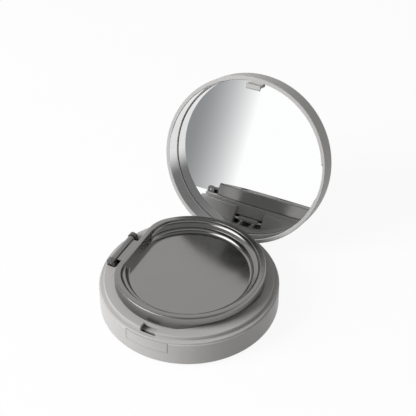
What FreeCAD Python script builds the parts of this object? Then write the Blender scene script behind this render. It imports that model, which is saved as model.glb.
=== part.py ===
import FreeCAD, Part
import math
import os

from FreeCAD import Vector

# Cushion compact, open. Millimetres, +Z up, origin at the centre of the flat foot.
# The push button faces -Y, the mirror lid hinges at +Y, the inner lid at -X.

# Outer case
case_radius = 38.0        # base and mirror lid
base_height = 12.9        # parting plane, where the lid's rim comes down
base_draft = 0.2          # the wall is this much narrower at its top
base_wall = 1.9
base_floor = 1.4
base_fillet = 1.5
foot_inset = 2.4
foot_height = 0.8
edge_round = 0.25         # small breaks and roundings of moulded edges

# Ring deck that closes the base
flange_thickness = 0.8
flange_inset = 0.35       # from the top of the base wall to the flange's edge
flange_round = 0.4
ring_setback = 2.35       # from the case's side to the raised ring
ring_height = 1.8
ring_round = 0.35
deck_plate = 1.4
deck_wall = 1.4
skirt_depth = 2.7         # below the flange, inside the base wall
deck_fit = 0.1            # radial room of the skirt in the base
seat_rib_count = 8
seat_rib_depth = 1.9
seat_rib_thickness = 1.2

# Refill in the deck's collar
refill_setback = 12.3     # from the case's side to the flange of the cup
refill_flange = 1.2
refill_drop = 0.8         # from the ring's top down to the cup's flange
refill_fit = 0.2
refill_lip = 0.75         # width of the collar's lip under the flange
collar_wall = 1.2
cup_wall = 1.2
cup_floor = 1.2
cup_gap = 0.7             # from the base's floor to the cup
sponge_fit = 0.2
sponge_drop = 0.4         # from the cup's flange down to the sponge's top

# Inner lid, a dish with one flat side towards its hinge
dish_radius = 31.7
dish_shift = 0.3          # dish centre towards +X
flat_cut = 5.1            # from the dish's round side to its flat side
dish_corner = 13.5        # plan radius between the flat and the round side
dish_height = 6.1         # rim above the ring's top
dish_depth = 4.7          # rim to the dish's floor
dish_floor = 1.0
dish_rim = 2.65
dish_wall = 1.2
dish_edge_round = 0.7
dish_lift = 0.25          # room between the skirt and the ring
step_setback = 4.35       # from the dish's side to the ledge half-way down its wall
step_width = 0.75
step_depth = 2.1          # rim to ledge
step_fall = 0.15          # the ledge slopes inwards
floor_setback = 6.7       # from the dish's side to the edge of its floor
flat_rim = 2.2            # rim's width along the flat side
flat_slope = 0.8          # the flat wall's lean, rim to floor
rim_corner = 15.0         # plan radius at the flat's ends, at the rim
floor_corner = 1.5        # and at the floor
cove_steps = 6            # facets in each hollow curve of the dish's wall
finger_angle = -36.0      # direction of the finger undercut
finger_span = 72.0
finger_depth = 2.0
finger_height = 2.5
groove_end = 15.0         # hollow under the rim ends here, towards the flat
gasket_inset = 0.5        # from the cup's flange to the gasket
gasket_width = 1.4
gasket_gap = 0.2          # free height over the cup's flange

# Inner lid's hinge
bar_setback = 3.35        # from the ring's side to the hinge axis
bar_rise = 1.3            # hinge axis above the ring's top
bar_radius = 2.0          # round ends of the bracket
barrel_radius = 1.6
bar_half_length = 10.0
bar_pin_radius = 0.6
ear_thickness = 1.9
ear_gap = 0.15
leaf_half_length = 7.0
leaf_thickness = 1.4
leaf_drop = 0.9           # leaf's underside below the hinge axis
pocket_depth = 1.2
pocket_wall = 1.2
pocket_fit = 0.3
bracket_plate = 0.55
pin_clearance = 0.04      # radial running fit on both hinge pins
pin_seat = 0.01           # radial room where a pin is held

# Mirror lid
lid_gap = 0.15
lid_wall = 1.86
lid_roof = 1.3
lid_fillet = 2.35
lid_rim_round = 0.35
mirror_clearance = 0.4    # closed, from the dish's rim to the glass
mirror_thickness = 1.1
mirror_fit = 0.14
mirror_bevel = 0.2
tape_thickness = 0.2
tape_inset = 3.0
relief_half_width = 8.6   # cut-back in the rim at +X
relief_lean = 1.2
relief_wall = 1.0
relief_depth = 1.6
open_angle = 109.4

# Mirror lid's hinge
hinge_setback = 2.8       # from the case's side to the axis
hinge_drop = 5.2          # axis below the parting plane
knuckle_radius = 1.3
knuckle_half_length = 4.75
notch_half_width = 7.3
notch_drop = 3.9          # notch's sill below the axis
cheek_thickness = 3.0
cheek_reach = 2.0         # cheek in front of the axis
lid_pin_radius = 0.6
lid_pin_hold = 2.2        # length held in each cheek
arm_offset = 3.0
arm_width = 1.3
arm_inset = 0.55          # arm's back inside the case's side
arm_gap = 0.3             # arm's front to the ring
arm_root = 0.6            # run of the arm into the lid's rim
arm_bend = 1.5

# Latch and push button
button_half_width = 9.2
button_bottom = 7.2
button_gap = 0.22
button_panel = 1.1
button_travel = 1.0
slider_thickness = 0.8
slider_gap = 0.15
slider_stop = 1.2         # stop ears beside the window, behind the wall
slider_back = 6.6         # from the case's side to the slider's back edge
hook_half_width = 3.2
hook_stem = 1.2
hook_setback = 2.5        # from the case's side to the stem's outer face
hook_lip = 1.1
hook_reach = 3.15         # below the lid's rim
hook_lip_height = 1.1
hook_root = 2.9           # height of the hook's root on the lid's wall
catch_grip = 0.5          # overlap of the lip under the catch edge
hook_room = 0.4
slot_half_width = 3.3
slot_back = 5.5           # from the case's side to the slot's back wall
spring_radius = 1.2
spring_wire = 0.22
spring_turns = 4
spring_length = 3.2
spring_drop = 1.85        # spring's axis below the slider
spring_tab_half_width = 1.8
spring_tab = 0.8
spring_post = 1.0
spigot_radius = 0.75
spigot_length = 0.8
rail_offset = 5.2
rail_thickness = 1.0
rail_length = 5.0

# Heights and radii that follow from the sizes above
floor_top = foot_height + base_floor
wall_top = base_height - flange_thickness
top_radius = case_radius - base_draft
inner_radius = top_radius - base_wall
flange_radius = top_radius - flange_inset
ring_radius = case_radius - ring_setback
ring_top = base_height + ring_height
refill_radius = case_radius - refill_setback
cup_depth = ring_top - refill_drop - cup_floor - cup_gap - floor_top
gasket_radius = refill_radius - gasket_inset
dish_flat = dish_radius - flat_cut
step_radius = dish_radius - step_setback
dish_floor_radius = dish_radius - floor_setback
skirt_bottom = wall_top - skirt_depth
flange_seat = ring_top - refill_drop - refill_flange
dish_rim_top = ring_top + dish_height
dish_floor_top = dish_rim_top - dish_depth
dish_floor_under = dish_floor_top - dish_floor
bar_x = -(ring_radius - bar_setback)
bar_z = ring_top + bar_rise
pocket_floor = ring_top - pocket_depth
lid_rim = base_height + lid_gap
lid_inner_radius = case_radius - lid_wall
mirror_face = dish_rim_top + mirror_clearance
mirror_back = mirror_face + mirror_thickness
lid_recess = mirror_back + tape_thickness
lid_top = lid_recess + lid_roof
hinge_y = case_radius - hinge_setback
hinge_z = base_height - hinge_drop
slider_top = wall_top - slider_gap
slider_bottom = slider_top - slider_thickness
catch_y = -(case_radius - hook_setback - hook_stem - hook_lip + catch_grip)
spring_y = -(case_radius - slider_back)
spring_z = slider_bottom - spring_drop
post_y = spring_y + spring_length


def rounded_wire(corners, place):
    """Closed wire through corners (u, v, rounding), where a negative rounding is a flat chamfer.

    place sets a flat point in space.
    """
    ends = []
    for i, (u, v, rounding) in enumerate(corners):
        here = Vector(u, v, 0)
        back = (Vector(*corners[i - 1][:2], 0) - here).normalize()
        ahead = (Vector(*corners[(i + 1) % len(corners)][:2], 0) - here).normalize()
        half = back.getAngle(ahead) / 2
        if rounding < 0:
            ends.append((here - back * rounding, None, here - ahead * rounding))
        elif rounding:
            reach = rounding / math.tan(half)
            middle = here + (back + ahead).normalize() * (rounding / math.sin(half) - rounding)
            ends.append((here + back * reach, middle, here + ahead * reach))
        else:
            ends.append((here, None, here))
    edges = []
    for i, (start, middle, end) in enumerate(ends):
        last = ends[i - 1][2]
        if last.distanceToPoint(start) > 1e-6:
            edges.append(Part.LineSegment(place(last), place(start)).toShape())
        if middle is not None:
            edges.append(Part.Arc(place(start), place(middle), place(end)).toShape())
        elif start.distanceToPoint(end) > 1e-6:
            edges.append(Part.LineSegment(place(start), place(end)).toShape())
    return Part.Wire(edges)


def turned(corners):
    """Solid of revolution about Z from a rounded profile of (radius, height, rounding)."""
    wire = rounded_wire(corners, lambda p: Vector(p.x, 0, p.y))
    return Part.Face(wire).revolve(Vector(0, 0, 0), Vector(0, 0, 1), 360)


def plate_x(corners, x_low, x_high):
    """Plate between two X planes from a rounded outline of (y, z, rounding)."""
    wire = rounded_wire(corners, lambda p: Vector(x_low, p.x, p.y))
    return Part.Face(wire).extrude(Vector(x_high - x_low, 0, 0))


def block(x_low, x_high, y_low, y_high, z_low, z_high):
    return Part.makeBox(x_high - x_low, y_high - y_low, z_high - z_low, Vector(x_low, y_low, z_low))


def disc(radius, z_low, z_high, x=0.0, y=0.0):
    return Part.makeCylinder(radius, z_high - z_low, Vector(x, y, z_low))


def rod_x(radius, x_low, x_high, y, z):
    return Part.makeCylinder(radius, x_high - x_low, Vector(x_low, y, z), Vector(1, 0, 0))


def rod_y(radius, y_low, y_high, x, z):
    return Part.makeCylinder(radius, y_high - y_low, Vector(x, y_low, z), Vector(0, 1, 0))


def dish_outline(radius, flat, corner, z):
    """Plan outline of the dish: a circle with one flat side at -X and blended corners."""
    along = flat - corner
    across = math.sqrt((radius - corner) ** 2 - along ** 2)
    reach = math.hypot(along, across)
    turn = math.atan2(across, along)
    centre = Vector(dish_shift, 0, z)

    def point(x, y):
        return centre + Vector(x, y, 0)

    def corner_point(angle, side):
        return point(-along - corner * math.cos(angle), side * (across + corner * math.sin(angle)))

    round_x = -radius * along / reach
    round_y = radius * across / reach
    edges = [
        Part.LineSegment(point(-flat, across), point(-flat, -across)).toShape(),
        Part.Arc(point(-flat, -across), corner_point(turn / 2, -1), point(round_x, -round_y)).toShape(),
        Part.Arc(point(round_x, -round_y), point(radius, 0), point(round_x, round_y)).toShape(),
        Part.Arc(point(round_x, round_y), corner_point(turn / 2, 1), point(-flat, across)).toShape(),
    ]
    return Part.Wire(edges)


def base_solid():
    """Outer shape of the base, without its hollow."""
    return turned([
        (0, 0, 0),
        (case_radius - foot_inset, 0, -edge_round),
        (case_radius - foot_inset, foot_height, 0),
        (case_radius, foot_height, base_fillet),
        (top_radius, wall_top, -edge_round),
        (0, wall_top, 0),
    ])


def base_shell():
    outer = base_solid()
    shell = outer.cut(turned([
        (0, floor_top, 0),
        (inner_radius, floor_top, -base_floor / 2),
        (inner_radius, wall_top + 1, 0),
        (0, wall_top + 1, 0),
    ]))
    # ribs that carry the deck's skirt
    rib = block(inner_radius - seat_rib_depth, inner_radius + edge_round, -seat_rib_thickness / 2,
                seat_rib_thickness / 2, floor_top - edge_round, skirt_bottom)
    for i in range(seat_rib_count):
        turned_rib = rib.copy()
        turned_rib.rotate(Vector(0, 0, 0), Vector(0, 0, 1), (i + 0.5) * 360 / seat_rib_count)
        shell = shell.fuse(turned_rib)
    # cheeks beside the hinge notch hold the lid's pin
    for side in (-1, 1):
        near = side * notch_half_width
        far = side * (notch_half_width + cheek_thickness)
        cheek = block(min(near, far), max(near, far), hinge_y - cheek_reach, case_radius,
                      floor_top - edge_round, skirt_bottom)
        shell = shell.fuse(cheek.common(outer))
    shell = shell.cut(block(-notch_half_width, notch_half_width, hinge_y - knuckle_radius, case_radius + 1,
                            hinge_z - notch_drop, wall_top + 1))
    held = notch_half_width + lid_pin_hold + pin_seat
    shell = shell.cut(rod_x(lid_pin_radius + pin_seat, -held, held, hinge_y, hinge_z))
    # window for the push button, closed at its top by the deck's flange
    window = button_half_width + button_gap
    shell = shell.cut(block(-window, window, -case_radius - 1, -inner_radius / 2,
                            button_bottom - button_gap, wall_top + 1))
    # rails under the slider and the post behind its spring
    for side in (-1, 1):
        near = side * rail_offset
        far = side * (rail_offset + rail_thickness)
        shell = shell.fuse(block(min(near, far), max(near, far), spring_y - rail_length / 2,
                                 spring_y + rail_length / 2, floor_top - edge_round,
                                 slider_bottom - slider_gap))
    shell = shell.fuse(block(-spring_tab_half_width, spring_tab_half_width, post_y, post_y + spring_post,
                             floor_top - edge_round, spring_z + spring_radius + spring_wire))
    return shell


def deck_ring():
    collar_inner = refill_radius + refill_fit
    lip_radius = collar_inner - refill_lip
    plate_under = ring_top - deck_plate
    riser_inner = ring_radius - deck_wall
    ring = turned([
        (lip_radius, flange_seat - collar_wall, 0),
        (collar_inner + collar_wall, flange_seat - collar_wall, 0),
        (collar_inner + collar_wall, plate_under, 0),
        (riser_inner, plate_under, 0),
        (riser_inner, skirt_bottom, 0),
        (inner_radius - deck_fit, skirt_bottom, 0),
        (inner_radius - deck_fit, wall_top, 0),
        (flange_radius, wall_top, 0),
        (flange_radius, base_height, flange_round),
        (ring_radius, base_height, 0),
        (ring_radius, ring_top, ring_round),
        (collar_inner, ring_top, -edge_round),
        (collar_inner, flange_seat, 0),
        (lip_radius, flange_seat, 0),
    ])
    # pocket for the inner lid's hinge bracket, open at the ring's side
    pocket_half = bar_half_length + pocket_fit
    pocket_front = bar_x + bar_radius + pocket_fit
    seat = block(-ring_radius, pocket_front + pocket_wall, -pocket_half - pocket_wall,
                 pocket_half + pocket_wall, wall_top, ring_top - ring_round)
    ring = ring.fuse(seat.common(disc(ring_radius - edge_round, wall_top, ring_top)))
    ring = ring.cut(block(-case_radius, pocket_front, -pocket_half, pocket_half, pocket_floor, ring_top + 1))
    # slot for the latch hook, down through the deck behind the flange
    ring = ring.cut(block(-slot_half_width, slot_half_width, -ring_radius, -(case_radius - slot_back),
                          skirt_bottom - 1, ring_top + 1))
    ring = ring.cut(block(-slot_half_width, slot_half_width, -case_radius, -(case_radius - slot_back),
                          base_height, ring_top + 1))
    # the skirt is open at the front for the slider
    slider_half = button_half_width + slider_stop + hook_room
    slider_end = spring_y + button_travel + hook_room
    ring = ring.cut(block(-slider_half, slider_half, -case_radius, slider_end, skirt_bottom - 1, wall_top))
    # hinge notch: flange and skirt end at the ring's side
    notch = block(-notch_half_width, notch_half_width, 0, case_radius + 1, skirt_bottom - 1, base_height + 1)
    return ring.cut(notch.cut(disc(ring_radius, skirt_bottom - 2, base_height + 2)))


def refill_cup():
    top = ring_top - refill_drop
    body_radius = refill_radius - refill_lip
    return turned([
        (0, top - cup_depth - cup_floor, 0),
        (body_radius, top - cup_depth - cup_floor, -cup_floor),
        (body_radius, flange_seat, 0),
        (refill_radius, flange_seat, 0),
        (refill_radius, top, -edge_round),
        (body_radius - cup_wall, top, -edge_round),
        (body_radius - cup_wall, top - cup_depth, -edge_round),
        (0, top - cup_depth, 0),
    ])


def sponge_cushion():
    top = ring_top - refill_drop
    radius = refill_radius - refill_lip - cup_wall - sponge_fit
    return turned([
        (0, top - cup_depth, 0),
        (radius, top - cup_depth, -edge_round),
        (radius, top - sponge_drop, -2 * edge_round),
        (0, top - sponge_drop, 0),
    ])


def cove(high, low):
    """Hollow quarter curve in the dish's wall, from its upper end down to its lower end."""
    points = []
    for i in range(1, cove_steps + 1):
        angle = math.radians(90) * i / cove_steps
        radius = high[0] - (high[0] - low[0]) * (1 - math.cos(angle))
        height = low[1] + (high[1] - low[1]) * (1 - math.sin(angle))
        points.append((radius, height))
    return points


def dish_pocket():
    """Hollow of the dish: two coves and a ledge that die out at the leaning flat side."""
    rim = (dish_radius - dish_rim, dish_rim_top)
    ledge_outer = (step_radius, dish_rim_top - step_depth)
    ledge_inner = (step_radius - step_width, ledge_outer[1] - step_fall)
    floor = (dish_floor_radius, dish_floor_top)
    levels = [rim] + cove(rim, ledge_outer) + [ledge_inner] + cove(ledge_inner, floor)
    wires = []
    for radius, height in levels:
        share = (dish_rim_top - height) / dish_depth
        flat = dish_flat - flat_rim - flat_slope * share
        corner = rim_corner + (floor_corner - rim_corner) * share
        wires.append(dish_outline(radius, flat, corner, height))
    return Part.makeLoft(wires, True, True)


def finger_cut(under):
    """Shallow scallop at the dish's skirt, where a finger lifts it."""
    half = 1 - math.cos(math.radians(finger_span / 2))
    shift = (2 * dish_radius * finger_depth - finger_depth ** 2) / (2 * dish_radius * half - 2 * finger_depth)
    way = Vector(math.cos(math.radians(finger_angle)), math.sin(math.radians(finger_angle)), 0)
    centre = Vector(dish_shift, 0, 0) - way * shift
    top = under + finger_height
    kept = disc(dish_radius + shift - finger_depth, under - 1, top, centre.x, centre.y)
    return disc(dish_radius + 1, under - 1, top, dish_shift).cut(kept)


def rim_groove(under):
    """Hollow under the dish's rim, left out at the flat side and behind the scallop."""
    top = dish_rim_top - dish_wall
    groove = disc(dish_radius - dish_wall, under - 1, top, dish_shift)
    groove = groove.cut(disc(dish_radius - dish_rim + dish_wall / 2, under - 1, top, dish_shift))
    groove = groove.cut(block(-case_radius, -groove_end, -case_radius, case_radius, under - 1, top))
    reach = 2 * case_radius
    corners = [Vector(dish_shift, 0, under - 1)]
    for turn in (-finger_span / 2, 0, finger_span / 2):
        angle = math.radians(finger_angle + turn)
        corners.append(Vector(dish_shift + reach * math.cos(angle), reach * math.sin(angle), under - 1))
    sector = Part.Face(Part.makePolygon(corners + corners[:1])).extrude(Vector(0, 0, top - under + 1))
    return groove.cut(sector)


def inner_lid():
    under = ring_top + dish_lift
    plan = Part.Face(dish_outline(dish_radius, dish_flat, dish_corner, under))
    lid = plan.extrude(Vector(0, 0, dish_rim_top - under))
    top_edges = [e for e in lid.Edges if e.BoundBox.ZMin > dish_rim_top - edge_round]
    lid = lid.makeFillet(dish_edge_round, top_edges)
    lid = lid.cut(dish_pocket())
    lid = lid.cut(rim_groove(under))
    lid = lid.cut(finger_cut(under))
    lid = lid.cut(disc(gasket_radius + refill_fit, under - 1, dish_floor_under))
    # leaf and barrel of its hinge
    leaf_low = bar_z - leaf_drop
    leaf = block(bar_x, dish_shift - dish_flat + dish_wall, -leaf_half_length, leaf_half_length,
                 leaf_low, leaf_low + leaf_thickness)
    barrel_half = bar_half_length - ear_thickness - ear_gap
    lid = lid.fuse(leaf).fuse(rod_y(barrel_radius, -barrel_half, barrel_half, bar_x, bar_z))
    return lid.cut(rod_y(bar_pin_radius + pin_clearance, -bar_half_length, bar_half_length, bar_x, bar_z))


def inner_lid_gasket():
    low = ring_top - refill_drop + gasket_gap
    ring = disc(gasket_radius, low, dish_floor_under)
    return ring.cut(disc(gasket_radius - gasket_width, low, dish_floor_under))


def hinge_bracket():
    plate_top = pocket_floor + bracket_plate
    plate = block(-case_radius, bar_x + bar_radius, -bar_half_length, bar_half_length, pocket_floor, plate_top)
    bracket = plate
    for side in (-1, 1):
        near = side * (bar_half_length - ear_thickness)
        far = side * bar_half_length
        y_low = min(near, far)
        y_high = max(near, far)
        foot = block(bar_x - bar_radius, bar_x + bar_radius, y_low, y_high, pocket_floor, bar_z)
        bracket = bracket.fuse(foot).fuse(rod_y(bar_radius, y_low, y_high, bar_x, bar_z))
    bracket = bracket.common(disc(ring_radius - ring_round, pocket_floor, bar_z + bar_radius))
    return bracket.cut(rod_y(bar_pin_radius + pin_seat, -case_radius, case_radius, bar_x, bar_z))


def inner_lid_pin():
    half = bar_half_length - edge_round / 2
    return rod_y(bar_pin_radius, -half, half, bar_x, bar_z)


def opened(shape):
    """Swing a piece of the mirror lid from its closed place to its open stop."""
    swung = shape.copy()
    swung.rotate(Vector(0, hinge_y, hinge_z), Vector(1, 0, 0), -open_angle)
    return swung


def lid_arm(x):
    """Goose-neck from the lid's rim down to the knuckle."""
    front = ring_radius + arm_gap
    back = case_radius - arm_inset
    root = lid_rim + arm_root
    neck = hinge_z + knuckle_radius + arm_gap
    corners = [
        (front, root, 0),
        (front, neck, arm_width / 2),
        (hinge_y, neck - arm_gap, 0),
        (hinge_y, hinge_z - knuckle_radius + edge_round, 0),
        (back, hinge_z - knuckle_radius + edge_round, arm_bend),
        (back, root, 0),
    ]
    return plate_x(corners, x - arm_width / 2, x + arm_width / 2)


def latch_hook():
    """Stem and lip that drop through the deck's slot and catch under the slider."""
    outer = -(case_radius - hook_setback)
    inner = outer + hook_stem
    low = lid_rim - hook_reach
    lip_top = low + hook_lip_height
    corners = [
        (-lid_inner_radius - edge_round, lid_rim, 0),
        (outer, lid_rim, edge_round),
        (outer, low, edge_round),
        (inner + hook_lip / 2, low, 2 * edge_round),
        (inner + hook_lip, lip_top - hook_lip_height / 2, edge_round),
        (inner + hook_lip, lip_top, 0),
        (inner, lip_top, 0),
        (inner, lid_rim + hook_root, edge_round),
        (-lid_inner_radius - edge_round, lid_rim + hook_root, 0),
    ]
    return plate_x(corners, -hook_half_width, hook_half_width)


def rim_relief():
    """Cut-back inside the lid's rim at +X, with leaning ends."""
    narrow = relief_half_width - relief_lean
    corners = [
        (-relief_half_width, lid_rim - 1, 0),
        (relief_half_width, lid_rim - 1, 0),
        (relief_half_width, lid_rim, 0),
        (narrow, lid_rim + relief_depth, 0),
        (-narrow, lid_rim + relief_depth, 0),
        (-relief_half_width, lid_rim, 0),
    ]
    wedge = plate_x(corners, lid_inner_radius / 2, case_radius)
    return wedge.common(disc(case_radius - relief_wall, lid_rim - 1, lid_top))


def lid_shell():
    lid = turned([
        (lid_inner_radius, lid_rim, -edge_round),
        (case_radius, lid_rim, lid_rim_round),
        (case_radius, lid_top, lid_fillet),
        (0, lid_top, 0),
        (0, lid_recess, 0),
        (lid_inner_radius, lid_recess, 0),
    ])
    lid = lid.cut(rim_relief())
    lid = lid.fuse(latch_hook())
    for side in (-1, 1):
        lid = lid.fuse(lid_arm(side * arm_offset))
    lid = lid.fuse(rod_x(knuckle_radius, -knuckle_half_length, knuckle_half_length, hinge_y, hinge_z))
    lid = lid.cut(rod_x(lid_pin_radius + pin_clearance, -case_radius, case_radius, hinge_y, hinge_z))
    return opened(lid)


def mirror_glass():
    radius = lid_inner_radius - mirror_fit
    return opened(turned([
        (0, mirror_face, 0),
        (radius - mirror_bevel, mirror_face, 0),
        (radius, mirror_face + mirror_bevel, 0),
        (radius, mirror_back, 0),
        (0, mirror_back, 0),
    ]))


def mirror_tape():
    return opened(disc(lid_inner_radius - tape_inset, mirror_back, lid_recess))


def lid_hinge_pin():
    half = notch_half_width + lid_pin_hold
    return rod_x(lid_pin_radius, -half, half, hinge_y, hinge_z)


def push_button():
    panel_top = wall_top - button_gap
    panel = base_solid().common(block(-button_half_width, button_half_width, -case_radius, 0,
                                      button_bottom, panel_top))
    panel = panel.cut(disc(top_radius - button_panel, 0, wall_top))
    # slider plate under the deck's flange, with stop ears behind the base wall
    ear_half = button_half_width + slider_stop
    core_half = button_half_width - button_gap
    slider = block(-ear_half, ear_half, -case_radius, spring_y, slider_bottom, slider_top)
    slider = slider.common(disc(inner_radius - slider_gap, slider_bottom, slider_top))
    core = block(-core_half, core_half, -case_radius, spring_y, slider_bottom, slider_top)
    core = core.common(disc(top_radius - button_panel / 2, slider_bottom, slider_top))
    button = panel.fuse(slider).fuse(core)
    # window for the hook; the bar behind it is the catch
    half = hook_half_width + hook_room
    front = -(case_radius - hook_setback) - hook_stem
    button = button.cut(block(-half, half, front, catch_y, slider_bottom - 1, slider_top + 1))
    # tab and spigot that hold the spring
    tab_low = spring_z - spring_radius
    tab = block(-spring_tab_half_width, spring_tab_half_width, spring_y - spring_tab, spring_y,
                tab_low, slider_top)
    spigot = rod_y(spigot_radius, spring_y - spring_tab, spring_y + spigot_length, 0, spring_z)
    return button.fuse(tab).fuse(spigot)


def button_spring():
    rise = spring_length - 2 * spring_wire
    helix = Part.makeHelix(rise / spring_turns, rise, spring_radius)
    section = Part.Wire(Part.makeCircle(spring_wire, Vector(spring_radius, 0, 0), Vector(0, 1, 0)))
    coil = Part.Wire(helix.Edges).makePipeShell([section], True, True)
    coil.rotate(Vector(0, 0, 0), Vector(1, 0, 0), -90)
    coil.translate(Vector(0, spring_y + spring_wire, spring_z))
    return coil


SUB_PARTS = [
    base_shell,
    deck_ring,
    refill_cup,
    sponge_cushion,
    push_button,
    button_spring,
    hinge_bracket,
    inner_lid_pin,
    inner_lid,
    inner_lid_gasket,
    lid_hinge_pin,
    lid_shell,
    mirror_glass,
    mirror_tape,
]

if __name__ == "__main__":
    os.makedirs("parts", exist_ok=True)
    for make in SUB_PARTS:
        shape = make().removeSplitter()
        shape.exportStep("parts/" + make.__name__ + ".step")
        print(make.__name__, len(shape.Solids), shape.isValid(), round(shape.Volume, 1))
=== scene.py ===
# %% [markdown]
# # A cushion compact in silver grey and dark metal
# The object is a round cosmetic case that stands open. Its base has a push button, a dark metallised dish is the
# inner lid over a sponge refill, and a deep lid carries a mirror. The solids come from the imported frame, in metres.

# %% Load the frame
import math

import bmesh
import bpy
from mathutils import Matrix, Vector, noise


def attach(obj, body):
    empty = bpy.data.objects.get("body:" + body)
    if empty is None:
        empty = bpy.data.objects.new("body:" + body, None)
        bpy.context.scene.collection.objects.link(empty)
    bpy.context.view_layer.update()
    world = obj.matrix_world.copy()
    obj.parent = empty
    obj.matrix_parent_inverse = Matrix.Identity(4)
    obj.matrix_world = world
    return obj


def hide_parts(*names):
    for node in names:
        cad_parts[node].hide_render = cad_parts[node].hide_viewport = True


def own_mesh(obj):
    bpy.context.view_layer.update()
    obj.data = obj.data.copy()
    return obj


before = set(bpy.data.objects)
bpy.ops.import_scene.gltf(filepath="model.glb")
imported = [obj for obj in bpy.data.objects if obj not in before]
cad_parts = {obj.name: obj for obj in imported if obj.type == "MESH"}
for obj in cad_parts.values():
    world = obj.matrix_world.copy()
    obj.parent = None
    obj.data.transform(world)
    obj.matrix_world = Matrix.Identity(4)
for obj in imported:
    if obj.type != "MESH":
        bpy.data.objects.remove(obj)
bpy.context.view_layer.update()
MM = 0.001
scene = bpy.context.scene
scene.view_settings.view_transform = "Standard"
print("nodes:", sorted(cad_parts))

# %% [markdown]
# ## Camera
# A product camera stands well back with a long lens, so the circles stay nearly true ellipses. It looks from the
# right of the push button, down at about forty degrees, at a point between the dish and the mirror. Direction,
# distance and lens were found by fitting the outlines in the photograph.

# %% Place the camera
VIEW_AZIMUTH = math.radians(26.49)
VIEW_ELEVATION = math.radians(38.93)
VIEW_DISTANCE = 0.3718
VIEW_TARGET = Vector((3.36, 10.94, 43.67)) * MM
LENS_PIXELS = 916.57
IMAGE_PIXELS = 416
SENSOR = 36.0
CLIP_START = 0.01
view_back = Vector((math.sin(VIEW_AZIMUTH) * math.cos(VIEW_ELEVATION),
                    -math.cos(VIEW_AZIMUTH) * math.cos(VIEW_ELEVATION),
                    math.sin(VIEW_ELEVATION)))
camera = bpy.data.objects.new("camera", bpy.data.cameras.new("camera"))
camera.data.sensor_width = SENSOR
camera.data.lens = LENS_PIXELS * SENSOR / IMAGE_PIXELS
camera.data.clip_start = CLIP_START
camera.location = VIEW_TARGET + view_back * VIEW_DISTANCE
camera.rotation_euler = (-view_back).to_track_quat("-Z", "Y").to_euler()
scene.collection.objects.link(camera)
scene.camera = camera
print("camera at", [round(v, 4) for v in camera.location], "lens", round(camera.data.lens, 2))

# %% [markdown]
# ## Node helpers
# The room, the finishes and the turned pieces are small node trees. A few helpers keep them readable. Each input of a
# node is given as a value or as another node's output, and the helpers for sums, ramps and blends return an output.

# %% Node helpers
BLEND_SOCKETS = {"RGBA": (6, 7, 2), "FLOAT": (2, 3, 0)}  # first input, second input, output


def feed(tree, socket, value):
    """Give an input a value, or link it to an output."""
    if isinstance(value, bpy.types.NodeSocket):
        tree.links.new(value, socket)
    else:
        socket.default_value = value


def add_node(tree, kind, sockets=None, **settings):
    """New node with its settings, and with its named or numbered inputs fed."""
    node = tree.nodes.new(kind)
    for name, value in settings.items():
        setattr(node, name, value)
    for key, value in (sockets or {}).items():
        feed(tree, node.inputs[key], value)
    return node


def calc(tree, operation, *values):
    """Output of a Math node."""
    return add_node(tree, "ShaderNodeMath", dict(enumerate(values)), operation=operation).outputs[0]


def ramp(tree, value, edge, ends=(0.0, 1.0), style="LINEAR"):
    """Output that runs between two ends while a value runs over an edge."""
    sockets = {"Value": value, "From Min": edge[0], "From Max": edge[1], "To Min": ends[0], "To Max": ends[1]}
    return add_node(tree, "ShaderNodeMapRange", sockets, interpolation_type=style).outputs[0]


def blend(tree, share, first, second, kind="RGBA"):
    """Output between a first and a second colour or number."""
    a, b, output = BLEND_SOCKETS[kind]
    return add_node(tree, "ShaderNodeMix", {0: share, a: first, b: second}, data_type=kind).outputs[output]


def blend_shaders(tree, share, first, second):
    """Output between two shaders."""
    return add_node(tree, "ShaderNodeMixShader", {0: share, 1: first, 2: second}).outputs[0]


def own_place(tree):
    """Coordinates of the piece itself, so that a pattern moves with it."""
    return add_node(tree, "ShaderNodeTexCoord").outputs["Object"]


def clouds(tree, scale, detail, distortion=0.0):
    """Output of a noise on the piece's own coordinates."""
    sockets = {"Vector": own_place(tree), "Scale": scale, "Detail": detail, "Distortion": distortion}
    return add_node(tree, "ShaderNodeTexNoise", sockets).outputs[0]


def axis_distance(tree, place):
    """Distance of a place from the Z axis."""
    plan = add_node(tree, "ShaderNodeVectorMath", {0: place, 1: (1, 1, 0)}, operation="MULTIPLY").outputs[0]
    return add_node(tree, "ShaderNodeVectorMath", {0: plan}, operation="LENGTH").outputs["Value"]


def new_finish(name, sockets):
    """Material with one Principled shader; returns the material, its tree and the shader."""
    material = bpy.data.materials.new(name)
    material.use_nodes = True
    tree = material.node_tree
    shader = tree.nodes["Principled BSDF"]
    for key, value in sockets.items():
        shader.inputs[key].default_value = value
    return material, tree, shader


print("blends of", sorted(BLEND_SOCKETS))

# %% [markdown]
# Two more helpers sort light rays, by their kind and by how often they have bounced. With them the studio can show
# one thing to the camera and another to a polished surface, as a photographer does with cards outside the picture.

# %% Kinds of rays


def any_ray(tree, rays, *kinds):
    """1 for rays of one of the named kinds, else 0."""
    share, *others = [rays.outputs[kind] for kind in kinds]
    for other in others:
        share = calc(tree, "MAXIMUM", share, other)
    return share


def fewer(tree, rays, depth, count):
    """1 for rays with fewer bounces of a kind than a count, else 0. The limit lies between two whole counts."""
    return calc(tree, "LESS_THAN", rays.outputs[depth], count - 0.5)


SEEN_THROUGH = ("Is Glossy Ray", "Is Transmission Ray")
print("the background also shows to", SEEN_THROUGH)

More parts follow.
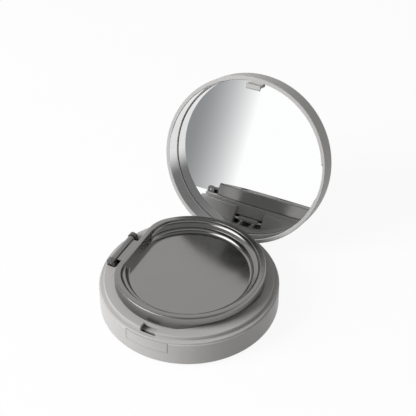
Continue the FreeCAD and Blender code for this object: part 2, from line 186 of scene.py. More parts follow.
# %% [markdown]
# ## Studio
# Polished surfaces show the room around them, so the room is painted. A picture of a studio could do that, but a few
# ramps on the direction of a ray are enough, and each edge stays a number that can be tuned. The walls are white and
# the ceiling is dim. The front is dark above the case, and a cool grey card at the front left gives the mirror its
# gradient. From the third reflection on everything is as dim as the ceiling, which keeps the dish's floor dark where
# it shows the lid.

# %% Room in the reflections
WALL_WHITE = (1, 1, 1, 1)
CARD_GREY = (0.26, 0.268, 0.275, 1)
FRONT_GREY = (0.18, 0.18, 0.18, 1)
CEILING_GREY = (0.36, 0.36, 0.36, 1)
CEILING_EDGE = (0.7, 0.9)
ABOVE_EDGE = (0.12, 0.4)
FRONT_EDGE = (0.1, -0.3)
CARD_EDGE = (-0.387, -0.327)
CARD_FADE = 1.7
world = bpy.data.worlds.new("studio")
scene.world = world
world.use_nodes = True
sky = world.node_tree
sky.nodes.clear()
rays = add_node(sky, "ShaderNodeLightPath")
direction = add_node(sky, "ShaderNodeTexCoord").outputs["Generated"]
way_x, way_y, way_z = add_node(sky, "ShaderNodeSeparateXYZ", {0: direction}).outputs
front = ramp(sky, way_y, FRONT_EDGE, style="SMOOTHSTEP")
above = ramp(sky, way_z, ABOVE_EDGE, style="SMOOTHSTEP")
ceiling = ramp(sky, way_z, CEILING_EDGE, style="SMOOTHSTEP")
card_fade = calc(sky, "POWER", ramp(sky, way_x, CARD_EDGE), CARD_FADE)
card = calc(sky, "MULTIPLY", calc(sky, "SUBTRACT", 1.0, card_fade), front)
late = calc(sky, "SUBTRACT", 1.0, fewer(sky, rays, "Glossy Depth", 3))
room = blend(sky, card, WALL_WHITE, CARD_GREY)
room = blend(sky, calc(sky, "MULTIPLY", above, front), room, FRONT_GREY)
room = blend(sky, calc(sky, "MAXIMUM", ceiling, late), room, CEILING_GREY)
print("room:", len(sky.nodes), "nodes")

# %% [markdown]
# A bright soft box stands in the direction of the key lamp. It draws the crescents on the dish's hollow walls. It
# shows in first reflections only, because a bright spot seen through the mirror makes speckle. Diffuse surfaces get a
# soft even fill in place of the room, and to the camera the world is white.

# %% Soft box and world
FILL_STRENGTH = 0.29
SOFTBOX = (4.4, 4.35, 4.3, 1)
SOFTBOX_EDGE = (0.88, 0.97)
KEY_WAY = Vector((-0.58, -0.61, 0.57)).normalized()
toward = add_node(sky, "ShaderNodeVectorMath", {0: direction, 1: KEY_WAY}, operation="DOT_PRODUCT").outputs["Value"]
box = ramp(sky, toward, SOFTBOX_EDGE, style="SMOOTHSTEP")
box = calc(sky, "MULTIPLY", box, fewer(sky, rays, "Glossy Depth", 2))
room = blend(sky, box, room, SOFTBOX)
fill, gloss, white = [add_node(sky, "ShaderNodeBackground", {"Color": color, "Strength": strength}).outputs[0]
                      for color, strength in ((WALL_WHITE, FILL_STRENGTH), (room, 1.0), (WALL_WHITE, 1.0))]
mirrored = calc(sky, "MULTIPLY", any_ray(sky, rays, *SEEN_THROUGH), fewer(sky, rays, "Diffuse Depth", 1))
lit = blend_shaders(sky, mirrored, fill, gloss)
seen = blend_shaders(sky, rays.outputs["Is Camera Ray"], lit, white)
add_node(sky, "ShaderNodeOutputWorld", {0: seen})
print("world:", len(sky.nodes), "nodes")

# %% [markdown]
# The floor is a pale disc. To the camera and in reflections it is mostly its own white, so it melts into the
# background. A small share of what it shows is the light that falls on it, which keeps a faint shadow under the case.
# The case itself is lit by a greyer floor, and that floor also shows from the third reflection on.

# %% Floor
FLOOR_RADIUS = 0.45
FLOOR_STEPS = 96
FLOOR_GREY = (0.5, 0.5, 0.5, 1)
FLOOR_PALE = (0.95, 0.95, 0.95, 1)
FLOOR_GLOW = 0.92
floor_mesh = bpy.data.meshes.new("floor")
floor_form = bmesh.new()
bmesh.ops.create_circle(floor_form, cap_ends=True, segments=FLOOR_STEPS, radius=FLOOR_RADIUS)
floor_form.to_mesh(floor_mesh)
floor_form.free()
floor = bpy.data.objects.new("floor", floor_mesh)
scene.collection.objects.link(floor)
floor_finish, tree, shader = new_finish("pale_floor", {"Roughness": 0.8})
rays = add_node(tree, "ShaderNodeLightPath")
shown = any_ray(tree, rays, "Is Camera Ray", *SEEN_THROUGH)
shown = calc(tree, "MULTIPLY", shown, fewer(tree, rays, "Diffuse Depth", 1))
shown = calc(tree, "MULTIPLY", shown, fewer(tree, rays, "Glossy Depth", 3))
feed(tree, shader.inputs["Base Color"], blend(tree, shown, FLOOR_GREY, FLOOR_PALE))
glow = add_node(tree, "ShaderNodeEmission", {"Color": WALL_WHITE, "Strength": 1.0}).outputs[0]
face = blend_shaders(tree, calc(tree, "MULTIPLY", shown, FLOOR_GLOW), shader.outputs[0], glow)
feed(tree, tree.nodes["Material Output"].inputs[0], face)
floor_mesh.materials.append(floor_finish)
print("floor radius", FLOOR_RADIUS)

# %% [markdown]
# One large soft lamp at the front left gives the form: the left of the case is light, the right falls off. In
# reflections the soft box stands in for it. A faint lamp high at the back right lifts the far edges.

# %% Lamps
LAMP_DISTANCE = 0.9
LAMP_TARGET = Vector((0, 0, 20)) * MM
KEY_SIZE = 0.5
KEY_POWER = 9.1
BACK_WAY = Vector((0.6, 0.55, 0.75)).normalized()
BACK_SIZE = 0.45
BACK_POWER = 0.15


def soft_lamp(name, way, size, power, in_gloss):
    """Square area lamp that looks at the middle of the case from a direction."""
    lamp = bpy.data.objects.new(name, bpy.data.lights.new(name, "AREA"))
    lamp.data.size = size
    lamp.data.energy = power
    lamp.visible_glossy = in_gloss
    lamp.location = way * LAMP_DISTANCE + LAMP_TARGET
    lamp.rotation_euler = way.to_track_quat("Z", "Y").to_euler()
    scene.collection.objects.link(lamp)


soft_lamp("key_lamp", KEY_WAY, KEY_SIZE, KEY_POWER, in_gloss=False)
soft_lamp("back_lamp", BACK_WAY, BACK_SIZE, BACK_POWER, in_gloss=True)

# %% [markdown]
# ## Finishes
# The case is moulded plastic with a satin, faintly pearly paint. Up close the paint has a very fine orange peel, and
# handling leaves soft patches that are a little smoother. Painted textures would need an unwrapped mesh. Noise on the
# piece's own coordinates needs none and moves with the lid.

# %% Case paint
CASE_TONES = ((0.485, 0.477, 0.468, 1), (0.515, 0.507, 0.497, 1))
RING_TONES = ((0.465, 0.457, 0.448, 1), (0.495, 0.487, 0.478, 1))
NOISE_EDGE = (0.3, 0.7)
PATCH_SCALE = 60.0
PATCH_CHANGE = (-0.05, 0.06)
PEEL_SCALE = 1800.0
PEEL_STRENGTH = 0.02
PEEL_DEPTH = 0.01 * MM


def painted_case(name, tones, roughness, shine):
    """Satin silver-grey paint: cloudy tone, uneven gloss and a fine orange peel."""
    material, tree, shader = new_finish(name, {"Metallic": 0.0, "Specular IOR Level": shine})
    patches = clouds(tree, PATCH_SCALE, detail=4.0)
    peel = {"Height": clouds(tree, PEEL_SCALE, detail=1.0), "Strength": PEEL_STRENGTH, "Distance": PEEL_DEPTH}
    uneven = ramp(tree, patches, NOISE_EDGE, [roughness + change for change in PATCH_CHANGE])
    feed(tree, shader.inputs["Base Color"], blend(tree, patches, *tones))
    feed(tree, shader.inputs["Roughness"], uneven)
    feed(tree, shader.inputs["Normal"], add_node(tree, "ShaderNodeBump", peel).outputs[0])
    return material


case_paint = painted_case("case_paint", CASE_TONES, roughness=0.36, shine=0.3)
lid_paint = painted_case("lid_paint", CASE_TONES, roughness=0.36, shine=0.08)
ring_paint = painted_case("ring_paint", RING_TONES, roughness=0.4, shine=0.3)
print("case finishes:", case_paint.name, lid_paint.name, ring_paint.name)

# %% [markdown]
# Inside the lid, the narrow wall round the mirror is bare of paint and polished bright. It could get a material of its
# own, but then its faces would have to be picked. So the paint itself finds the wall, by the distance from the lid's
# axis and by the height, on coordinates turned back to the closed lid.

# %% Polished wall in the lid
HINGE = Vector((0, 35.2, 7.7)) * MM
OPEN_ANGLE = math.radians(109.4)
LID_WALL_RADIUS = 36.14 * MM
LID_WALL_TOP = 22.6 * MM
POLISH_EDGE = (0.2 * MM, 0.1 * MM)
POLISH = (("Base Color", "RGBA", (0.84, 0.84, 0.835, 1)), ("Roughness", "FLOAT", 0.09), ("Metallic", "FLOAT", 0.85))


def polish_wall(material):
    """Make the paint bright and smooth where the lid's inner wall is."""
    tree = material.node_tree
    shader = tree.nodes["Principled BSDF"]
    shift = HINGE - Matrix.Rotation(OPEN_ANGLE, 3, "X") @ HINGE
    closed = add_node(tree, "ShaderNodeMapping", {"Vector": own_place(tree), "Location": shift,
                                                  "Rotation": (OPEN_ANGLE, 0, 0)}).outputs[0]
    off = calc(tree, "SUBTRACT", axis_distance(tree, closed), LID_WALL_RADIUS)
    near = ramp(tree, calc(tree, "ABSOLUTE", off), POLISH_EDGE)
    height = add_node(tree, "ShaderNodeSeparateXYZ", {0: closed}).outputs["Z"]
    band = calc(tree, "MULTIPLY", near, calc(tree, "LESS_THAN", height, LID_WALL_TOP))
    for name, kind, bare in POLISH:
        socket = shader.inputs[name]
        paint = socket.links[0].from_socket if socket.is_linked else socket.default_value
        feed(tree, socket, blend(tree, band, paint, bare, kind))


polish_wall(lid_paint)
print("polished wall at radius", LID_WALL_RADIUS)

# %% [markdown]
# The dish and its hinge bar are plastic with a dark metal coating, so they mirror the room dimly. The floor of the
# dish is the smoothest. Its walls are softer, and its outer side is dull. Height and distance from the axis set this,
# and faint finger smears change the gloss from place to place.

# %% Dark metal coating
DISH_TONES = ((0.238, 0.235, 0.231, 1), (0.268, 0.264, 0.26, 1))
BAR_TONES = ((0.15, 0.148, 0.146, 1), (0.18, 0.178, 0.175, 1))
FLOOR_ROUGHNESS = 0.13
WALL_ROUGHNESS = 0.18
WALL_EDGE = (16.3 * MM, 17.2 * MM)
SIDE_CHANGE = 0.16
SIDE_EDGE = (30.6 * MM, 31.4 * MM)
SMEAR_SCALE = 90.0
SMEAR_CHANGE = (-0.02, 0.03)


def coated_plastic(name, tones):
    """Dark metal coating: bright on the dish's floor, softer on its walls, dull on its outer side."""
    material, tree, shader = new_finish(name, {"Metallic": 1.0})
    smears = clouds(tree, SMEAR_SCALE, detail=5.0, distortion=0.6)
    place = own_place(tree)
    height = add_node(tree, "ShaderNodeSeparateXYZ", {0: place}).outputs["Z"]
    roughness = ramp(tree, height, WALL_EDGE, (FLOOR_ROUGHNESS, WALL_ROUGHNESS))
    roughness = calc(tree, "ADD", roughness, ramp(tree, smears, NOISE_EDGE, SMEAR_CHANGE))
    side = ramp(tree, axis_distance(tree, place), SIDE_EDGE, (0.0, SIDE_CHANGE))
    feed(tree, shader.inputs["Base Color"], blend(tree, smears, *tones))
    feed(tree, shader.inputs["Roughness"], calc(tree, "ADD", roughness, side))
    return material


dark_metal = coated_plastic("dark_metal", DISH_TONES)
bar_metal = coated_plastic("bar_metal", BAR_TONES)
print("coated finishes:", dark_metal.name, bar_metal.name)

# %% [markdown]
# Silvered glass is nearly a perfect reflector. A trace of haze, in soft patches, keeps it from looking like a hole.

# %% Mirror
SILVER_TONES = ((0.975, 0.98, 0.98, 1), (0.99, 0.995, 0.995, 1))
HAZE_SCALE = 45.0
HAZE_EDGE = (0.45, 0.75)
HAZE_ROUGHNESS = (0.0, 0.02)
mirror_silver, tree, shader = new_finish("mirror_silver", {"Metallic": 1.0})
haze = clouds(tree, HAZE_SCALE, detail=3.0)
feed(tree, shader.inputs["Base Color"], blend(tree, haze, *SILVER_TONES))
feed(tree, shader.inputs["Roughness"], ramp(tree, haze, HAZE_EDGE, HAZE_ROUGHNESS))
print("finish:", mirror_silver.name)

# %% [markdown]
# The hidden pieces get finishes too, because they show when the case is taken apart: plain steel, white cup
# plastic, soft rubber, foam tape and the skin-toned soaked sponge with its open pores. One helper makes all five,
# because they differ only in tone, grain and gloss.

# %% Inner finishes
GRAIN_STRENGTH = 0.3


def speckled(name, dark, light, scale, roughness, depth, metallic=0.0):
    """Plain finish with a mottled tone and a fine bump of the same grain."""
    material, tree, shader = new_finish(name, {"Metallic": metallic, "Roughness": roughness})
    grain = clouds(tree, scale, detail=4.0)
    bump = {"Height": grain, "Strength": GRAIN_STRENGTH, "Distance": depth}
    feed(tree, shader.inputs["Base Color"], blend(tree, grain, dark, light))
    feed(tree, shader.inputs["Normal"], add_node(tree, "ShaderNodeBump", bump).outputs[0])
    return material


pin_steel = speckled("pin_steel", (0.5, 0.5, 0.5, 1), (0.62, 0.61, 0.6, 1), scale=2500.0, roughness=0.3,
                     depth=0.01 * MM, metallic=1.0)
cup_plastic = speckled("cup_plastic", (0.77, 0.77, 0.76, 1), (0.82, 0.82, 0.81, 1), scale=900.0, roughness=0.45,
                       depth=0.01 * MM)
gasket_rubber = speckled("gasket_rubber", (0.62, 0.62, 0.62, 1), (0.72, 0.72, 0.72, 1), scale=1500.0, roughness=0.7,
                         depth=0.02 * MM)
tape_foam = speckled("tape_foam", (0.7, 0.7, 0.68, 1), (0.8, 0.8, 0.78, 1), scale=2200.0, roughness=0.9,
                     depth=0.04 * MM)
sponge_foam = speckled("sponge_foam", (0.64, 0.45, 0.32, 1), (0.8, 0.62, 0.47, 1), scale=1600.0, roughness=0.75,
                       depth=0.12 * MM)
print("inner finishes:", [m.name for m in (pin_steel, cup_plastic, gasket_rubber, tape_foam, sponge_foam)])

# %% [markdown]
# ## Moulded pieces
# The frame's meshes are loose triangles. For each visible moulding a copy is merged, triangles in one plane become
# one face, and the edges are split into smooth and sharp by angle. A Weighted Normal modifier lets the large faces
# keep their own direction, so that fillets shade softly and flats stay flat. The copy then stands for the node.

# %% Smooth copies of the mouldings
SHARP_ANGLE = math.radians(38)
FLAT_ANGLE = math.radians(0.4)
MERGE_DISTANCE = 0.002 * MM


def shade_by_angle(form):
    """Smooth faces, with a sharp edge wherever two faces meet at a marked angle."""
    for face in form.faces:
        face.smooth = True
    for edge in form.edges:
        edge.smooth = len(edge.link_faces) == 2 and edge.calc_face_angle(0.0) < SHARP_ANGLE


def weigh_normals(piece):
    """Weighted normals, so that a large face isn't bent by the small fillet beside it."""
    weight = piece.modifiers.new("weighted_normals", "WEIGHTED_NORMAL")
    weight.mode = "FACE_AREA"
    weight.keep_sharp = True
    return piece


def mount_piece(piece, material, body, slot_name, *nodes):
    """Give a finished piece its material and body, and hide the nodes it stands for. Its record slot is not used."""
    piece.data.materials.clear()
    piece.data.materials.append(material)
    scene.collection.objects.link(piece)
    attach(piece, body)
    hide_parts(*nodes)


def moulding(name, node, material, body, slot_name, rework=None):
    """Merged, softly shaded copy of a node, with one part of it made anew if a function is given for that."""
    form = bmesh.new()
    form.from_mesh(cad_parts[node].data)
    bmesh.ops.remove_doubles(form, verts=form.verts, dist=MERGE_DISTANCE)
    bmesh.ops.dissolve_limit(form, angle_limit=FLAT_ANGLE, verts=form.verts, edges=form.edges)
    if rework:
        rework(form)
    shade_by_angle(form)
    mesh = bpy.data.meshes.new(name)
    form.to_mesh(mesh)
    form.free()
    print(name, len(mesh.polygons), "faces")
    mount_piece(weigh_normals(bpy.data.objects.new(name, mesh)), material, body, slot_name, node)


moulding("base_tub", "base_shell", case_paint, "base", "case_plastic")
moulding("ring_deck", "deck_ring", ring_paint, "base", "ring_plastic")
moulding("button_panel", "push_button", case_paint, "button", "case_plastic")
moulding("mirror_lid", "lid_shell", lid_paint, "lid", "case_plastic")
moulding("hinge_bar", "hinge_bracket", bar_metal, "base", "dish_plastic")

# %% [markdown]
# ## Dish
# The dish's hollow shows its coating most, so that part is made anew. The rim and the hollow are taken out of the
# copy, and rings of points grow from the open edge: over the rounded rim, down two coves with a ledge between them, to
# the floor. Every point keeps its share of the flat side, the corner or the round side, so the rings stay in step
# while the corners tighten towards the floor. The sizes are in millimetres.

# %% Outline of the dish
DISH_SHIFT = 0.3
DISH_RADIUS = 31.7
DISH_FLAT = 26.6
DISH_CORNER = 13.5
FLAT_SLACK = 0.02


def corner_arc(radius, flat, corner):
    """Centre distances and turn of the corner arcs in a ring of the dish."""
    along = flat - corner
    across = math.sqrt((radius - corner) ** 2 - along ** 2)
    return along, across, math.atan2(across, along)


def find_share(x, y):
    """Stretch of the dish's outer outline that holds a point, and the point's share of it."""
    along, across, turn = corner_arc(DISH_RADIUS, DISH_FLAT, DISH_CORNER)
    if x < 0 and abs(y) < across + FLAT_SLACK:
        return "flat", y / across
    angle = math.atan2(abs(y) - across, -x - along)
    if 0 < angle < turn:
        return "corner", math.copysign(angle / turn, y)
    return "round", math.atan2(y, x) / (math.pi - turn)


def ring_point(stretch, share, ring):
    """Point of a ring, in metres, at a share of one of its stretches."""
    radius, flat, corner, height = ring
    along, across, turn = corner_arc(radius, flat, corner)
    if stretch == "flat":
        x, y = -flat, share * across
    elif stretch == "corner":
        angle = abs(share) * turn
        x, y = -along - corner * math.cos(angle), math.copysign(across + corner * math.sin(angle), share)
    else:
        angle = share * (math.pi - turn)
        x, y = radius * math.cos(angle), radius * math.sin(angle)
    return Vector((x + DISH_SHIFT, y, height)) * MM


print("a point of the round side:", find_share(DISH_RADIUS, 0.0))

# %% [markdown]
# A ring is a radius, a distance to the flat side, a corner radius and a height. The first rings round the rim over,
# and the others follow the hollow's profile: lip, cove, lip and cove.

# %% Rings of the dish
ARC_POINTS = 6
COVE_STEPS = 10
RIM_TOP = 20.8
RIM_ROUND = 0.7
RIM_INNER = 29.05
RIM_FLAT = 24.4
RIM_CORNER = 15.0
FLOOR_TOP = 16.1
FLOOR_EDGE = 25.0
FLOOR_CORNER = 1.5
FLAT_SLOPE = 0.8
LEDGE_OUTER = (27.35, 18.7)
LEDGE_INNER = (26.6, 18.55)
LIP_ROUND = 0.3


def lip(radius, top, rounding):
    """Rounded edge from a level top over into a wall: radius and height of each point."""
    turns = [math.pi / 2 * k / ARC_POINTS for k in range(ARC_POINTS + 1)]
    return [(radius + rounding * (1 - math.sin(t)), top - rounding * (1 - math.cos(t))) for t in turns]


def cove(high, low, start):
    """Hollow quarter curve from an upper to a lower edge, after the height that a lip has used."""
    first = math.asin(start / (high[1] - low[1]))
    turns = [first + (math.pi / 2 - first) * k / COVE_STEPS for k in range(1, COVE_STEPS + 1)]
    return [(high[0] - (high[0] - low[0]) * (1 - math.cos(t)), low[1] + (high[1] - low[1]) * (1 - math.sin(t)))
            for t in turns]


def dish_rings():
    """Radius, flat, corner and height of each ring, from the rounded rim to the floor."""
    rings = []
    for k in range(1, ARC_POINTS + 1):
        turn = math.pi / 2 * k / ARC_POINTS
        inset = RIM_ROUND * (1 - math.cos(turn))
        rings.append((DISH_RADIUS - inset, DISH_FLAT - inset, DISH_CORNER - inset,
                      RIM_TOP - RIM_ROUND * (1 - math.sin(turn))))
    rim = (RIM_INNER, RIM_TOP)
    hollow = lip(*rim, LIP_ROUND) + cove(rim, LEDGE_OUTER, LIP_ROUND)
    hollow += lip(*LEDGE_INNER, LIP_ROUND) + cove(LEDGE_INNER, (FLOOR_EDGE, FLOOR_TOP), LIP_ROUND)
    for radius, height in hollow:
        share = (RIM_TOP - height) / (RIM_TOP - FLOOR_TOP)
        over = max(0.0, radius - RIM_INNER)
        rings.append((radius, RIM_FLAT - FLAT_SLOPE * share + over,
                      RIM_CORNER + (FLOOR_CORNER - RIM_CORNER) * share + over, height))
    return rings


print("rings:", len(dish_rings()))

# %% [markdown]
# The faces of the rim and the hollow are known by where they lie. They go, and the open edge that is left is the
# start of the rings. Quads join each ring to the one above, and one flat face closes the last. The new hollow is so
# joined to the old underside without a gap.

# %% Dish with a new hollow
FACE_SLACK = 0.05


def in_hollow(face):
    """Whether a face of the solid belongs to the dish's rim or hollow."""
    points = [v.co / MM - Vector((DISH_SHIFT, 0, 0)) for v in face.verts]
    if all(p.z > RIM_TOP - RIM_ROUND - FACE_SLACK for p in points):
        return True
    inside = all(p.xy.length < RIM_INNER + FACE_SLACK and p.x > -RIM_FLAT - FACE_SLACK for p in points)
    return inside and face.normal.z > -FACE_SLACK and all(p.z > FLOOR_TOP - FACE_SLACK for p in points)


def rebuild_hollow(form):
    """Replace the faces of the rim and the hollow by rings of quads and one flat floor."""
    bmesh.ops.delete(form, geom=[face for face in form.faces if in_hollow(face)], context="FACES")
    edge = [e for e in form.edges if e.is_boundary]
    shares = {v: find_share(v.co.x / MM - DISH_SHIFT, v.co.y / MM) for e in edge for v in e.verts}
    upper = {v: v for v in shares}
    for ring in dish_rings():
        lower = {v: form.verts.new(ring_point(*shares[v], ring)) for v in shares}
        for e in edge:
            a, b = e.verts
            form.faces.new((upper[a], upper[b], lower[b], lower[a]))
        upper = lower
    floor_edge = [form.edges.get((upper[e.verts[0]], upper[e.verts[1]])) for e in edge]
    bmesh.ops.edgeloop_fill(form, edges=floor_edge)
    bmesh.ops.recalc_face_normals(form, faces=form.faces)
    print("rings of", len(edge), "points; open edges left:", sum(e.is_boundary for e in form.edges))


moulding("dish_lid", "inner_lid", dark_metal, "base", "dish_plastic", rebuild_hollow)

# %% [markdown]
# ## Turned pieces
# Mirror, tape, cup, gasket, sponge and pins are all round. One Geometry Nodes tree makes them: a grid is bent into
# rings, and each ring samples the points of a half profile and turns them about the Z axis. A Screw modifier could
# do this for one piece. The tree serves all of them, with the profile, the steps and the finish as its inputs.

# %% The turning tree


def new_group(name, inputs):
    """Geometry node group with named inputs and one piece as its output; returns the group and its input node."""
    group = bpy.data.node_groups.new(name, "GeometryNodeTree")
    for label, kind in inputs:
        group.interface.new_socket(label, in_out="INPUT", socket_type="NodeSocket" + kind)
    group.interface.new_socket("Piece", in_out="OUTPUT", socket_type="NodeSocketGeometry")
    return group, add_node(group, "NodeGroupInput").outputs


def end_group(group, geometry, finish):
    """Make a geometry real, coat it with the finish and hand it to the group's output."""
    real = add_node(group, "GeometryNodeRealizeInstances", {0: geometry}).outputs[0]
    coat = add_node(group, "GeometryNodeSetMaterial", {"Geometry": real, "Material": finish}).outputs[0]
    add_node(group, "NodeGroupOutput", {0: coat})


turned_piece, start = new_group("turned_piece", (("Profile", "Geometry"), ("Steps around", "Int"),
                                                 ("Finish", "Material")))
profile, steps = start["Profile"], start["Steps around"]
count = add_node(turned_piece, "GeometryNodeAttributeDomainSize", {0: profile}, component="MESH").outputs["Point Count"]
grid = add_node(turned_piece, "GeometryNodeMeshGrid", {"Vertices X": calc(turned_piece, "ADD", steps, 1.0),
                                                       "Vertices Y": count}).outputs["Mesh"]
index = add_node(turned_piece, "GeometryNodeInputIndex").outputs[0]
column = calc(turned_piece, "FLOOR", calc(turned_piece, "DIVIDE", index, count))
where = add_node(turned_piece, "GeometryNodeInputPosition").outputs[0]
sample = add_node(turned_piece, "GeometryNodeSampleIndex",
                  {"Geometry": profile, "Value": where, "Index": calc(turned_piece, "MODULO", index, count)},
                  data_type="FLOAT_VECTOR", domain="POINT").outputs[0]
angle = calc(turned_piece, "MULTIPLY", column, calc(turned_piece, "DIVIDE", math.tau, steps))
turn = add_node(turned_piece, "ShaderNodeVectorRotate", {"Vector": sample, "Angle": angle},
                rotation_type="Z_AXIS").outputs[0]
bent = add_node(turned_piece, "GeometryNodeSetPosition", {"Geometry": grid, "Position": turn}).outputs[0]
closed = add_node(turned_piece, "GeometryNodeMergeByDistance", {0: bent, "Distance": MERGE_DISTANCE}).outputs[0]
end_group(turned_piece, closed, start["Finish"])
print("turning tree:", len(turned_piece.nodes), "nodes")

# %% [markdown]
# A node group works on a blank object. What it makes is kept as a plain mesh with outward faces, and the blank goes.

# %% Plain meshes


def set_input(modifier, name, value):
    """Set a node modifier's input through the identifier of its socket."""
    for item in modifier.node_group.interface.items_tree:
        if item.name == name and item.in_out == "INPUT":
            modifier[item.identifier] = value


def plain_mesh(name, group, points, inputs):
    """What a node group makes of some points, as a mesh of its own with outward faces."""
    blank_mesh = bpy.data.meshes.new(name + "_blank")
    blank_mesh.from_pydata(points, [], [])
    blank = bpy.data.objects.new(name + "_blank", blank_mesh)
    scene.collection.objects.link(blank)
    modifier = blank.modifiers.new(group.name, "NODES")
    modifier.node_group = group
    for label, value in inputs.items():
        set_input(modifier, label, value)
    mesh = bpy.data.meshes.new_from_object(blank.evaluated_get(bpy.context.evaluated_depsgraph_get()))
    bpy.data.objects.remove(blank)
    mesh.name = name
    form = bmesh.new()
    form.from_mesh(mesh)
    bmesh.ops.dissolve_degenerate(form, edges=form.edges, dist=MERGE_DISTANCE)
    bmesh.ops.recalc_face_normals(form, faces=form.faces)
    shade_by_angle(form)
    form.to_mesh(mesh)
    form.free()
    print(name, len(mesh.polygons), "faces")
    return mesh


# %% [markdown]
# A profile is a list of corners in millimetres, each a radius, a height and a rounding. A rounding becomes a short arc
# of points, so that only the chamfered edges of glass and steel stay crisp. The mirror is a disc of glass, and a thin
# disc of foam tape holds it in the lid. Both are turned about Z as in the closed case and then swung open with it.

# %% Mirror and tape
MIRROR_PROFILE = [(0, 21.2, 0), (35.7, 21.2, 0), (36.0, 21.5, 0), (36.0, 22.3, 0), (0, 22.3, 0)]
TAPE_PROFILE = [(0, 22.3, 0), (33.14, 22.3, 0.05), (33.14, 22.5, 0.05), (0, 22.5, 0)]
MIRROR_STEPS = 192
TAPE_STEPS = 96


def rounded_profile(corners):
    """Points in metres along a half profile, with its corners rounded."""
    points = []
    for i, (radius, height, rounding) in enumerate(corners):
        here = Vector((radius, height))
        if not rounding:
            points.append(here)
            continue
        back = (Vector(corners[i - 1][:2]) - here).normalized()
        ahead = (Vector(corners[i + 1][:2]) - here).normalized()
        half = back.angle(ahead) / 2
        middle = here + (back + ahead).normalized() * rounding / math.sin(half)
        first = (here + back * rounding / math.tan(half) - middle).normalized()
        last = (here + ahead * rounding / math.tan(half) - middle).normalized()
        points += [middle + first.slerp(last, k / ARC_POINTS) * rounding for k in range(ARC_POINTS + 1)]
    return [(p.x * MM, 0.0, p.y * MM) for p in points]


def turned(name, corners, around, material, place=Matrix.Identity(4)):
    """Object with a turned mesh, moved to its place in the case."""
    mesh = plain_mesh(name, turned_piece, rounded_profile(corners), {"Steps around": around, "Finish": material})
    mesh.transform(place)
    return weigh_normals(bpy.data.objects.new(name, mesh))


lid_open = Matrix.Translation(HINGE) @ Matrix.Rotation(-OPEN_ANGLE, 4, "X") @ Matrix.Translation(-HINGE)
mirror = turned("mirror", MIRROR_PROFILE, MIRROR_STEPS, mirror_silver, lid_open)
mount_piece(mirror, mirror_silver, "lid", "mirror_glass", "mirror_glass")
tape = turned("tape_disc", TAPE_PROFILE, TAPE_STEPS, tape_foam, lid_open)
mount_piece(tape, tape_foam, "lid", "tape_foam", "mirror_tape")

# %% [markdown]
# The refill is a thin moulded cup with a flange that hangs in the ring, and a soft ring under the dish seals it. The
# gasket's profile is closed: it ends at the point where it starts.

# %% Refill cup and gasket
CUP_PROFILE = [(0, 2.9, 0), (24.95, 2.9, 1.2), (24.95, 12.7, 0), (25.7, 12.7, 0.25), (25.7, 13.9, 0.25),
               (23.75, 13.9, 0.25), (23.75, 4.1, 0.25), (0, 4.1, 0)]
GASKET_PROFILE = [(23.8, 14.6, 0), (23.8, 14.1, 0.4), (25.2, 14.1, 0.4), (25.2, 15.1, 0.1), (23.8, 15.1, 0.1),
                  (23.8, 14.6, 0)]
CUP_STEPS = 128
cup = turned("cup", CUP_PROFILE, CUP_STEPS, cup_plastic)
mount_piece(cup, cup_plastic, "base", "cup_plastic", "refill_cup")
gasket = turned("gasket", GASKET_PROFILE, CUP_STEPS, gasket_rubber)
mount_piece(gasket, gasket_rubber, "base", "gasket_rubber", "inner_lid_gasket")

# %% [markdown]
# Steel pins carry the lid and the dish. They are cut from wire, so their ends have small chamfers. Each is turned
# upright about Z, which the tree can do, and then tipped over into its hinge.

# %% Hinge pins
PIN_RADIUS = 0.6
PIN_CHAMFER = 0.15
PIN_STEPS = 32
LID_PIN_LENGTH = 19.0
DISH_PIN_LENGTH = 19.75
DISH_HINGE = Vector((-32.3, 0, 16.0)) * MM


def pin(name, length, middle, axis):
    """Steel pin with chamfered ends, turned upright and then tipped over about an axis."""
    end = length / 2
    tip = PIN_RADIUS - PIN_CHAMFER
    corners = [(0, -end, 0), (tip, -end, 0), (PIN_RADIUS, PIN_CHAMFER - end, 0),
               (PIN_RADIUS, end - PIN_CHAMFER, 0), (tip, end, 0), (0, end, 0)]
    place = Matrix.Translation(middle) @ Matrix.Rotation(math.pi / 2, 4, axis)
    return turned(name, corners, PIN_STEPS, pin_steel, place)


lid_pin = pin("lid_pin", LID_PIN_LENGTH, HINGE, "Y")
mount_piece(lid_pin, pin_steel, "base", "pin_steel", "lid_hinge_pin")
dish_pin = pin("dish_pin", DISH_PIN_LENGTH, DISH_HINGE, "X")
mount_piece(dish_pin, pin_steel, "base", "pin_steel", "inner_lid_pin")

# %% [markdown]
# ## Sponge
# The sponge is a thick disc of foam, soaked and slightly crowned. Its pores could be a bump only, but then its top
# would stay smooth in profile. So it is turned from a dense profile, and noise of a fixed pattern sinks small pores
# into the points of its top.

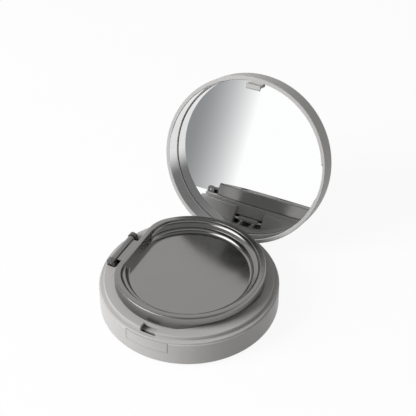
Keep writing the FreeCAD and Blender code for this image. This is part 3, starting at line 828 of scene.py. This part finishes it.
# %% Sponge
SPONGE_SIDE = [(0, 4.1, 0), (23.5, 4.1, 0.3), (23.5, 13.2, 0)]
CROWN_RADIUS = 23.3
CROWN_FOOT = 13.5
CROWN_RISE = 0.25
CROWN_STEPS = 40
SPONGE_STEPS = 160
PORE_DEPTH = 0.25 * MM
PORE_FROM = 13.3 * MM
PORE_SCALE = 900
crown = [(CROWN_RADIUS * k / CROWN_STEPS, CROWN_FOOT + CROWN_RISE * math.cos(math.pi / 2 * k / CROWN_STEPS), 0)
         for k in range(CROWN_STEPS + 1)]
sponge = turned("sponge", SPONGE_SIDE + crown[::-1], SPONGE_STEPS, sponge_foam)
for vertex in sponge.data.vertices:
    if vertex.co.z > PORE_FROM:
        vertex.co.z -= PORE_DEPTH * max(0.0, noise.noise(vertex.co * PORE_SCALE))
mount_piece(sponge, sponge_foam, "base", "sponge_foam", "sponge_cushion")
print("sponge top", round(max(v.co.z for v in sponge.data.vertices) / MM, 2), "mm")

# %% [markdown]
# ## Button spring
# A coil is a curve with a rule, so Geometry Nodes draws it: a spiral of constant radius, swept by a small circle.
# Turns, radius, rise and wire are inputs of the group, so the same tree can draw another spring.

# %% The coil tree
COIL_POINTS = 28
WIRE_POINTS = 10
coil_tree, start = new_group("coil", (("Blank", "Geometry"), ("Turns", "Float"), ("Coil radius", "Float"),
                                      ("Rise", "Float"), ("Wire radius", "Float"), ("Finish", "Material")))
spiral = add_node(coil_tree, "GeometryNodeCurveSpiral", {
    "Resolution": COIL_POINTS, "Rotations": start["Turns"], "Start Radius": start["Coil radius"],
    "End Radius": start["Coil radius"], "Height": start["Rise"]}).outputs[0]
wire = add_node(coil_tree, "GeometryNodeCurvePrimitiveCircle", {
    "Resolution": WIRE_POINTS, "Radius": start["Wire radius"]}).outputs[0]
sweep = add_node(coil_tree, "GeometryNodeCurveToMesh", {
    "Curve": spiral, "Profile Curve": wire, "Fill Caps": True}).outputs[0]
end_group(coil_tree, sweep, start["Finish"])
print("coil tree:", len(coil_tree.nodes), "nodes")

# %% [markdown]
# The button's spring has four turns of thin steel wire and lies between the slider and a post. It is drawn at its
# length at rest.

# %% Spring
SPRING_FROM = -31.4
SPRING_TO = -28.2
SPRING_Z = 9.3
SPRING_TURNS = 4.0
COIL_RADIUS = 1.2
WIRE = 0.22
spring_mesh = plain_mesh("spring", coil_tree, [], {
    "Turns": SPRING_TURNS, "Coil radius": COIL_RADIUS * MM, "Rise": (SPRING_TO - SPRING_FROM - 2 * WIRE) * MM,
    "Wire radius": WIRE * MM, "Finish": pin_steel})
spring_mesh.transform(Matrix.Translation(Vector((0, SPRING_FROM + WIRE, SPRING_Z)) * MM)
                      @ Matrix.Rotation(-math.pi / 2, 4, "X"))
spring = bpy.data.objects.new("spring", spring_mesh)
mount_piece(spring, pin_steel, "base", "pin_steel", "button_spring")
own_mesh(spring)
